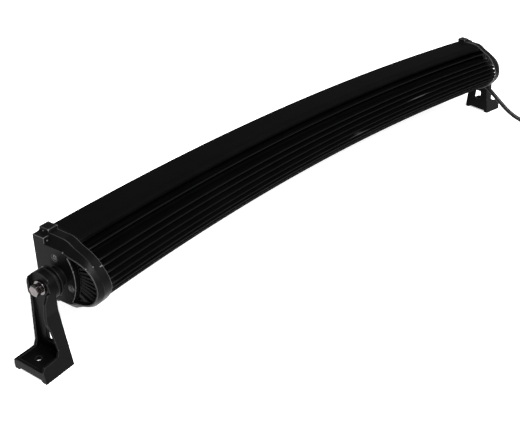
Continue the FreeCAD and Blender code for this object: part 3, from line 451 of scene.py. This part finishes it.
def cord_points():
    """Return the cord's control points in millimetres."""
    points = [
        left_point(GLAND_S, 12, GLAND_Z),
        left_point(GLAND_S, 46, GLAND_Z),
        left_point(GLAND_S, 59, GLAND_Z - 6),
        Vector((-421, 55, 33.5)),
        Vector((-424, 71, 20)),
        Vector((-428, 86, 10.5)),
        Vector((-433, 100, 5)),
        Vector((-440, 113, 3.6)),
        Vector((-449, 126, 3.6)),
        Vector((-457.5, 138, 3.6)),
    ]
    first = math.radians(206.2)
    last = math.radians(90 - 360)
    climb_from, climb_to = math.radians(-50), math.radians(-130)
    turns = int((first - last) / (2 * math.pi) * COIL_STEPS)
    for step in range(1, turns):
        angle = first + (last - first) * step / turns
        climbed = min(1, max(0, (climb_from - angle) / (climb_from - climb_to)))
        high = 3.6 + 7.0 * climbed * climbed * (3 - 2 * climbed)
        loose = COIL_RADIUS + 0.6 * math.sin(2.3 * angle)
        turned = Vector((loose * math.cos(angle), loose * math.sin(angle), high))
        points.append(COIL_CENTRE + turned)
    for x, y, z in ((4, 38, 10.6), (22, 37.2, 9.8), (40, 34, 8.3), (57, 29.7, 8)):
        points.append(COIL_CENTRE + Vector((x, y, z)))
    return points


def make_cord():
    curve = bpy.data.curves.new("supply_cord", "CURVE")
    curve.dimensions = "3D"
    spline = curve.splines.new("NURBS")
    points = cord_points()
    spline.points.add(len(points) - 1)
    for point, place in zip(spline.points, points):
        point.co = (*(place * MM), 1)
    spline.order_u = 3
    spline.use_endpoint_u = True
    spline.resolution_u = 8
    curve.bevel_depth = CORD_RADIUS * MM
    curve.bevel_resolution = 6
    curve.use_fill_caps = True
    cord = bpy.data.objects.new("supply_cord", curve)
    bpy.context.scene.collection.objects.link(cord)
    stand_in(cord, "cable", "cable_coil", "cable_tail")
    return cord


cord = make_cord()

make_housing()
for side in ("right", "left"):
    cast("end_cap_" + side, 0.42, 2, 0.30)
    cast("bracket_" + side, 0.42, 2, 0.30)
    cast("pivot_bolt_" + side, 0.2, 1, 0.6)
    cast("cap_screws_" + side, 0.18, 1, 0.5)


# ---------------------------------------------------------------- turned pieces
def lathed(name, profile, matrix, steps=64, closed=True, sharp=40, cut_in=None):
    """Turn an (x, radius) profile in millimetres about x, and place it; a ring when closed.

    cut_in(step, index) is how far a point of the profile lies inside its radius.
    """
    verts, faces = [], []
    for step in range(steps):
        turn = 2 * math.pi * step / steps
        for index, (x, radius) in enumerate(profile):
            reach = radius - (cut_in(step, index) if cut_in else 0)
            spot = Vector((x, reach * math.cos(turn), reach * math.sin(turn)))
            verts.append(matrix @ (spot * MM))
    count = len(profile)
    for step in range(steps):
        here, there = step * count, (step + 1) % steps * count
        for index in range(count if closed else count - 1):
            after = (index + 1) % count
            faces.append((here + index, here + after, there + after, there + index))
    if not closed:
        faces.append(tuple(step * count for step in range(steps)))
        faces.append(tuple(step * count + count - 1 for step in range(steps)))
    return mesh_object(name, verts, faces, sharp)


def softened(corners, radius):
    """Return a closed profile with round corners."""
    points = [Vector(corner) for corner in corners]
    return [(point.x, point.y) for point in rounded(points, radius, 4)]


PIVOT_U = 26
BOLT_RADIUS = 3
BOSS_END, EYE_START = 16, 22
WASHER_START, SPRING_START, HEAD_START = 30.05, 31.65, 33.75


def pivot_matrix(side):
    return ENDS[side] @ Matrix.Translation(Vector((0, PIVOT_U, 0)) * MM)


def make_spacer(side):
    """A rubber bush: two rims with a groove between them."""
    start, end, rim, slope = BOSS_END, EYE_START - 0.05, 1.6, 0.3
    bore, narrow, wide = BOLT_RADIUS + 0.3, 13, 16
    profile = softened([(start, bore), (start, wide), (start + rim, wide), (start + rim + slope, narrow),
                        (end - rim - slope, narrow), (end - rim, wide), (end, wide), (end, bore)], 0.45)
    bush = lathed("rubber_bush_" + side, profile, pivot_matrix(side), 96)
    stand_in(bush, "rubber_spacer_" + side)


def make_washers(side):
    """A stamped flat washer, and a split spring washer with a twist at its gap."""
    flat = softened([(WASHER_START, BOLT_RADIUS + 0.2), (WASHER_START, 7.5), (SPRING_START, 7.5),
                     (SPRING_START, BOLT_RADIUS + 0.2)], 0.35)
    stand_in(lathed("washer_" + side, flat, pivot_matrix(side), 72), "flat_washer_" + side)
    thick, inner, outer, twist = 1.7, 3.15, 5.25, 0.3
    section = softened([(-thick / 2, inner), (-thick / 2, outer), (thick / 2, outer), (thick / 2, inner)],
                       0.25)
    steps, gap, gap_at = 60, math.radians(14), math.radians(60)
    centre = (SPRING_START + HEAD_START) / 2
    verts, faces = [], []
    for step in range(steps + 1):
        part = step / steps
        turn = gap_at + gap / 2 + (2 * math.pi - gap) * part
        for x, radius in section:
            spot = Vector((centre + x + twist * (part - 0.5), radius * math.cos(turn),
                           radius * math.sin(turn)))
            verts.append(pivot_matrix(side) @ (spot * MM))
    count = len(section)
    for step in range(steps):
        for index in range(count):
            after = (index + 1) % count
            faces.append((step * count + index, step * count + after,
                          (step + 1) * count + after, (step + 1) * count + index))
    faces.append(tuple(range(count)))
    faces.append(tuple(range(steps * count, (steps + 1) * count)))
    stand_in(mesh_object("spring_ring_" + side, verts, faces, 40), "spring_washer_" + side)


for side in ("right", "left"):
    make_spacer(side)
    make_washers(side)


# ---------------------------------------------------------------- gland, strain relief and vent
def along_cord():
    """Return a matrix whose x axis runs out of the gland, along the cord."""
    matrix = ENDS["left"] @ Matrix.Translation(Vector((GLAND_S, 0, GLAND_Z)) * MM)
    return matrix @ Matrix.Rotation(math.radians(90), 4, "Z")


def make_gland():
    """A moulded gland: round thread, domed nut with six grips."""
    steps, grip_deep = 96, 0.42
    bore = CORD_RADIUS + 0.6
    profile = [(11.0, 4.7), (11.4, 5.0), (21.4, 5.0), (22.0, 5.0), (22.0, 5.4), (22.6, 5.9),
               (25.0, 5.9), (25.7, 5.3), (26.0, 4.8), (26.0, bore), (11.0, bore)]
    gripped = {4: 1, 5: 1, 6: 1, 7: 0.6}

    def grip(step, index):
        wave = abs(math.cos(3 * 2 * math.pi * step / steps)) ** 0.7
        return grip_deep * (1 - wave) * gripped.get(index, 0)

    stand_in(lathed("gland_nut", profile, along_cord(), steps, sharp=30, cut_in=grip), "cable_gland")


def make_relief():
    """A tapered sleeve with ribs that get smaller towards the cord."""
    start, end, ribs = 26.05, 39.9, 5
    profile = []
    pitch = (end - start) / ribs
    for rib in range(ribs):
        x = start + rib * pitch
        wide = 4.75 - 0.7 * rib / (ribs - 1)
        profile += [(x, wide - 0.25), (x + 0.3, wide), (x + 0.62 * pitch - 0.3, wide),
                    (x + 0.62 * pitch, wide - 0.25), (x + 0.66 * pitch, wide - 0.55),
                    (x + 0.96 * pitch, wide - 0.6)]
    profile += [(end, CORD_RADIUS + 0.02), (start, CORD_RADIUS + 0.02)]
    stand_in(lathed("ribbed_relief", profile, along_cord(), 64), "strain_relief")


def make_vent():
    """A breather plug: a stem and a knurled head with a dished top."""
    profile = [(0.2, 3.7), (9, 3.7), (9.0, 5.3), (9.3, 5.7), (11.0, 5.7), (11.4, 5.3), (11.4, 4.4),
               (11.0, 4.2)]
    low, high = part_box("breather_vent")
    spot = ENDS["right"].inverted() @ ((Vector(low) + Vector(high)) / 2)
    matrix = ENDS["right"] @ Matrix.Translation(Vector((0, spot.y, spot.z)))

    def knurl(step, index):
        return 0.22 if step % 4 < 2 and profile[index][1] > 5 else 0

    plug = lathed("breather_plug", profile, matrix, 72, closed=False, sharp=30, cut_in=knurl)
    stand_in(plug, "breather_vent")


make_gland()
make_relief()
make_vent()


# ---------------------------------------------------------------- connector
PLUG_TURN = math.radians(-14)
PLUG_LONG, PLUG_WIDE, PLUG_HIGH = 34, 17, 16


def plug_matrix():
    place = COIL_CENTRE + Vector((57, 29.7, 8 - PLUG_HIGH / 2))
    return Matrix.Translation(place * MM) @ Matrix.Rotation(PLUG_TURN, 4, "Z")


def add_block(bm, low, high):
    """Add a box between two corners in millimetres."""
    made = bmesh.ops.create_cube(bm, size=1)["verts"]
    size = Vector(high) - Vector(low)
    middle = (Vector(high) + Vector(low)) / 2
    for vert in made:
        vert.co = Vector((vert.co.x * size.x, vert.co.y * size.y, vert.co.z * size.z)) + middle


def merged(name, matrix, add_to, bevel, take_from=(), sharp=40):
    """Unite boxes, cut others from them, round the edges and place the result."""
    objects = []
    for blocks in (add_to, take_from):
        group = []
        for low, high in blocks:
            bm = bmesh.new()
            add_block(bm, low, high)
            mesh = bpy.data.meshes.new(name + "_block")
            bm.to_mesh(mesh)
            bm.free()
            obj = bpy.data.objects.new(name + "_block", mesh)
            bpy.context.scene.collection.objects.link(obj)
            group.append(obj)
        objects.append(group)
    whole = objects[0][0]
    for other in objects[0][1:] + objects[1]:
        modifier = whole.modifiers.new("join", "BOOLEAN")
        modifier.operation = "DIFFERENCE" if other in objects[1] else "UNION"
        modifier.solver = "EXACT"
        modifier.object = other
    rounding = whole.modifiers.new("bevel", "BEVEL")
    rounding.width = bevel
    rounding.segments = 3
    rounding.limit_method = "ANGLE"
    mesh = applied(whole)
    for other in objects[0][1:] + objects[1]:
        bpy.data.objects.remove(other)
    mesh.transform(matrix @ Matrix.Scale(MM, 4))
    return linked(name, mesh, sharp)


def make_connector():
    """A two-way sealed plug: ribbed body with a latch and a socket, and a stepped neck."""
    half = PLUG_WIDE / 2
    body = [((0, 0.9 - half, 0.9), (14.5, half - 0.9, 13.1)),
            ((14, -half, 0.4), (PLUG_LONG, half, 13.6))]
    ribs = [((start, -half, 1.2), (start + 1.3, half, 12.8)) for start in (3, 5.6, 8.2, 10.8)]
    latch = [((12, -4.2, 13.0), (33.4, -2.6, 15.9)), ((12, 2.6, 13.0), (33.4, 4.2, 15.9)),
             ((18, -4.2, 14.4), (24, 4.2, 15.9))]
    socket = [((PLUG_LONG - 13, 2.5 - half, 2.5), (PLUG_LONG + 1, half - 2.5, PLUG_HIGH - 4.4))]
    shell = merged("plug_body", plug_matrix(), body + ribs + latch, 0.35, socket)
    stand_in(shell, "connector")
    bore = CORD_RADIUS + 0.05
    profile = [(-9, bore), (-9, 4.6), (-8.4, 5.0), (-6.6, 5.0), (-6.2, 4.7), (-4.6, 4.7), (-4.2, 5.2),
               (-2.4, 5.2), (-2.0, 4.9), (0.2, 5.2), (0.2, bore)]
    matrix = plug_matrix() @ Matrix.Translation(Vector((0, 0, PLUG_HIGH / 2)) * MM)
    neck = stand_in(lathed("plug_neck", profile, matrix, 64), beside="connector")
    return neck, shell


plug_neck, plug_body = make_connector()
tuple(left_point(GLAND_S, 12, GLAND_Z) * MM)


# ---------------------------------------------------------------- lamps
HOUSING_GAP = 0.006
MODULE_ANGLE = 2 * (HALF_ANGLE - HOUSING_GAP) / 3
LAMPS_IN_MODULE = 10
LAMP_ANGLE = MODULE_ANGLE / LAMPS_IN_MODULE
ROW_Z = 14.5 * MM
ROOM_HALF = 33.7 * MM
REFLECTOR_FRONT, REFLECTOR_BACK = 6.6 * MM, 15.6 * MM
BOARD_FRONT = 19.5 * MM
CUP_SIDES = 32


def cell_border(low, high, sides):
    """Return points round a rectangle, one for each side of the cup, in the cup's order."""
    points = []
    for side in range(sides):
        turn = 2 * math.pi * side / sides
        x, z = math.cos(turn), math.sin(turn)
        reach_x = (high[0] if x > 0 else -low[0]) / max(abs(x), 1e-9)
        reach_z = (high[1] if z > 0 else -low[1]) / max(abs(z), 1e-9)
        reach = min(reach_x, reach_z)
        points.append((x * reach, z * reach))
    return points


def cup_profile():
    """Return (depth, radius) down a cup: a rounded rim, then a parabola."""
    profile = [(REFLECTOR_FRONT, 12.1 * MM), (REFLECTOR_FRONT + 0.12 * MM, 11.75 * MM),
               (REFLECTOR_FRONT + 0.5 * MM, 11.5 * MM)]
    first, last = 11.5 * MM, 5.0 * MM
    for step in range(1, 9):
        part = step / 8
        depth = REFLECTOR_FRONT + 0.5 * MM + part * (REFLECTOR_BACK - REFLECTOR_FRONT - 0.5 * MM)
        profile.append((depth, math.sqrt(first ** 2 + (last ** 2 - first ** 2) * part)))
    return profile


def make_reflector(index, name):
    """A plate of twenty mirror cups in two rows."""
    first = (index - 1.5) * MODULE_ANGLE + 0.0003
    cell = (MODULE_ANGLE - 0.0006) / LAMPS_IN_MODULE
    profile = cup_profile()
    verts, faces = [], []
    for column in range(LAMPS_IN_MODULE):
        centre = first + (column + 0.5) * cell
        for row in (-1, 1):
            middle = row * ROW_Z
            low = (-cell / 2 * ARC_RADIUS, (0 if row > 0 else -ROOM_HALF) - middle)
            high = (cell / 2 * ARC_RADIUS, (ROOM_HALF if row > 0 else 0) - middle)
            border = cell_border(low, high, CUP_SIDES)
            corners = [(low[0], low[1]), (high[0], low[1]), (high[0], high[1]), (low[0], high[1])]
            for corner in corners:
                nearest = min(range(CUP_SIDES), key=lambda k: math.dist(border[k], corner))
                border[nearest] = corner
            rings = [[(REFLECTOR_FRONT, x, z) for x, z in border]]
            turns = [2 * math.pi * k / CUP_SIDES for k in range(CUP_SIDES)]
            for depth, radius in profile:
                rings.append([(depth, radius * math.cos(turn), radius * math.sin(turn)) for turn in turns])
            rings.append([(REFLECTOR_BACK, x, z) for x, z in border])
            base = len(verts)
            for ring in rings:
                verts += [on_arc(centre + x / ARC_RADIUS, depth, middle + z)
                          for depth, x, z in ring]
            for ring in range(len(rings) - 1):
                for k in range(CUP_SIDES):
                    after = (k + 1) % CUP_SIDES
                    a, b = base + ring * CUP_SIDES, base + (ring + 1) * CUP_SIDES
                    faces.append((a + k, a + after, b + after, b + k))
            last = base + (len(rings) - 1) * CUP_SIDES
            for k in range(CUP_SIDES):
                after = (k + 1) % CUP_SIDES
                middle_x = (border[k][0] + border[after][0]) / 2
                middle_z = (border[k][1] + border[after][1]) / 2
                outer_x = ((abs(middle_x - low[0]) < 1e-6 and column == 0)
                           or (abs(middle_x - high[0]) < 1e-6 and column == LAMPS_IN_MODULE - 1))
                outer_z = abs(abs(middle + middle_z) - ROOM_HALF) < 1e-6
                if outer_x or outer_z:
                    faces.append((base + k, base + after, last + after, last + k))
    mesh = bpy.data.meshes.new("mirror_cups_" + name)
    mesh.from_pydata([tuple(v) for v in verts], [], faces)
    bm = bmesh.new()
    bm.from_mesh(mesh)
    bmesh.ops.remove_doubles(bm, verts=bm.verts, dist=0.01 * MM)
    bm.to_mesh(mesh)
    bm.free()
    stand_in(linked("mirror_cups_" + name, mesh, 30, weighted=False), "reflector_" + name)


def lamp_places():
    for index in range(3):
        first = (index - 1.5) * MODULE_ANGLE
        for column in range(LAMPS_IN_MODULE):
            angle = first + (column + 0.5) * LAMP_ANGLE
            for z in (-ROW_Z, ROW_Z):
                forward = Vector((math.sin(angle), -math.cos(angle), 0))
                side = Vector((math.cos(angle), math.sin(angle), 0))
                matrix = Matrix((side, (0, 0, 1), forward)).transposed().to_4x4()
                matrix.translation = on_arc(angle, BOARD_FRONT, z)
                yield matrix


def make_chips():
    """White packages with a step, and a phosphor dome on each."""
    packages, domes = ([], []), ([], [])
    levels = [(2.5, 0.02), (2.5, 0.75), (2.3, 0.85), (1.9, 0.85)]
    for matrix in lamp_places():
        verts, faces = packages
        base = len(verts)
        for half, high in levels:
            for x, y in ((-1, -1), (1, -1), (1, 1), (-1, 1)):
                verts.append(matrix @ (Vector((x * half, y * half, high)) * MM))
        for level in range(len(levels) - 1):
            for k in range(4):
                a = base + level * 4
                faces.append((a + k, a + (k + 1) % 4, a + 4 + (k + 1) % 4, a + 4 + k))
        faces.append(tuple(base + k for k in (3, 2, 1, 0)))
        faces.append(tuple(base + 12 + k for k in range(4)))
        verts, faces = domes
        base, sides, rings, wide = len(verts), 20, 5, 1.75
        for ring in range(rings):
            rise = math.pi / 2 * ring / rings
            for k in range(sides):
                turn = 2 * math.pi * k / sides
                reach = wide * math.cos(rise)
                spot = Vector((reach * math.cos(turn), reach * math.sin(turn), 0.8 + 1.1 * math.sin(rise)))
                verts.append(matrix @ (spot * MM))
        verts.append(matrix @ (Vector((0, 0, 1.9)) * MM))
        for ring in range(rings - 1):
            for k in range(sides):
                a, b = base + ring * sides, base + (ring + 1) * sides
                faces.append((a + k, a + (k + 1) % sides, b + (k + 1) % sides, b + k))
        top = base + (rings - 1) * sides
        for k in range(sides):
            faces.append((top + k, top + (k + 1) % sides, base + rings * sides))
        faces.append(tuple(base + k for k in reversed(range(sides))))
    stand_in(mesh_object("lamp_packages", *packages, 30), "led_chips", look="package")
    stand_in(mesh_object("lamp_domes", *domes, 60), beside="led_chips")


for index, name in enumerate(("left", "centre", "right")):
    make_reflector(index, name)
make_chips()

# ---------------------------------------------------------------- CAD nodes that stay
for name, obj in NODES.items():
    if not obj.hide_render:
        obj.data.materials.clear()
        obj.data.materials.append(MATERIALS[SLOTS[name]])


# ---------------------------------------------------------------- studio
def add_floor():
    bm = bmesh.new()
    bmesh.ops.create_grid(bm, x_segments=8, y_segments=8, size=14)
    mesh = bpy.data.meshes.new("floor")
    bm.to_mesh(mesh)
    bm.free()
    floor = bpy.data.objects.new("floor", mesh)
    bpy.context.scene.collection.objects.link(floor)
    mat, tree, shader = material("pale_floor")
    tree.links.new(blended(tree, noise(tree, 3), (0.93, 0.93, 0.93), (0.95, 0.95, 0.95)),
                   shader.inputs["Base Color"])
    shader.inputs["Roughness"].default_value = 0.9
    shader.inputs["Specular IOR Level"].default_value = 0.1
    shader.inputs["Emission Color"].default_value = (1, 1, 1, 1)
    shader.inputs["Emission Strength"].default_value = 0.6
    mesh.materials.append(mat)


def add_light(name, place, target, size, power):
    data = bpy.data.lights.new(name, "AREA")
    data.shape = "SQUARE"
    data.size = size
    data.energy = power
    light = bpy.data.objects.new(name, data)
    light.location = place
    light.rotation_euler = (Vector(target) - Vector(place)).to_track_quat("-Z", "Y").to_euler()
    bpy.context.scene.collection.objects.link(light)


def add_studio():
    add_floor()
    world = bpy.data.worlds.new("studio")
    world.use_nodes = True
    background = world.node_tree.nodes["Background"]
    background.inputs["Color"].default_value = (1, 1, 1, 1)
    background.inputs["Strength"].default_value = 0.5
    bpy.context.scene.world = world
    add_light("key", (0.8, 1.9, 2.2), (0, 0, 0.05), 0.7, 150)
    add_light("fill", (-1.5, 2.2, 2.4), (0, 0, 0.05), 2.2, 60)
    bpy.context.scene.view_settings.view_transform = "Standard"


add_studio()
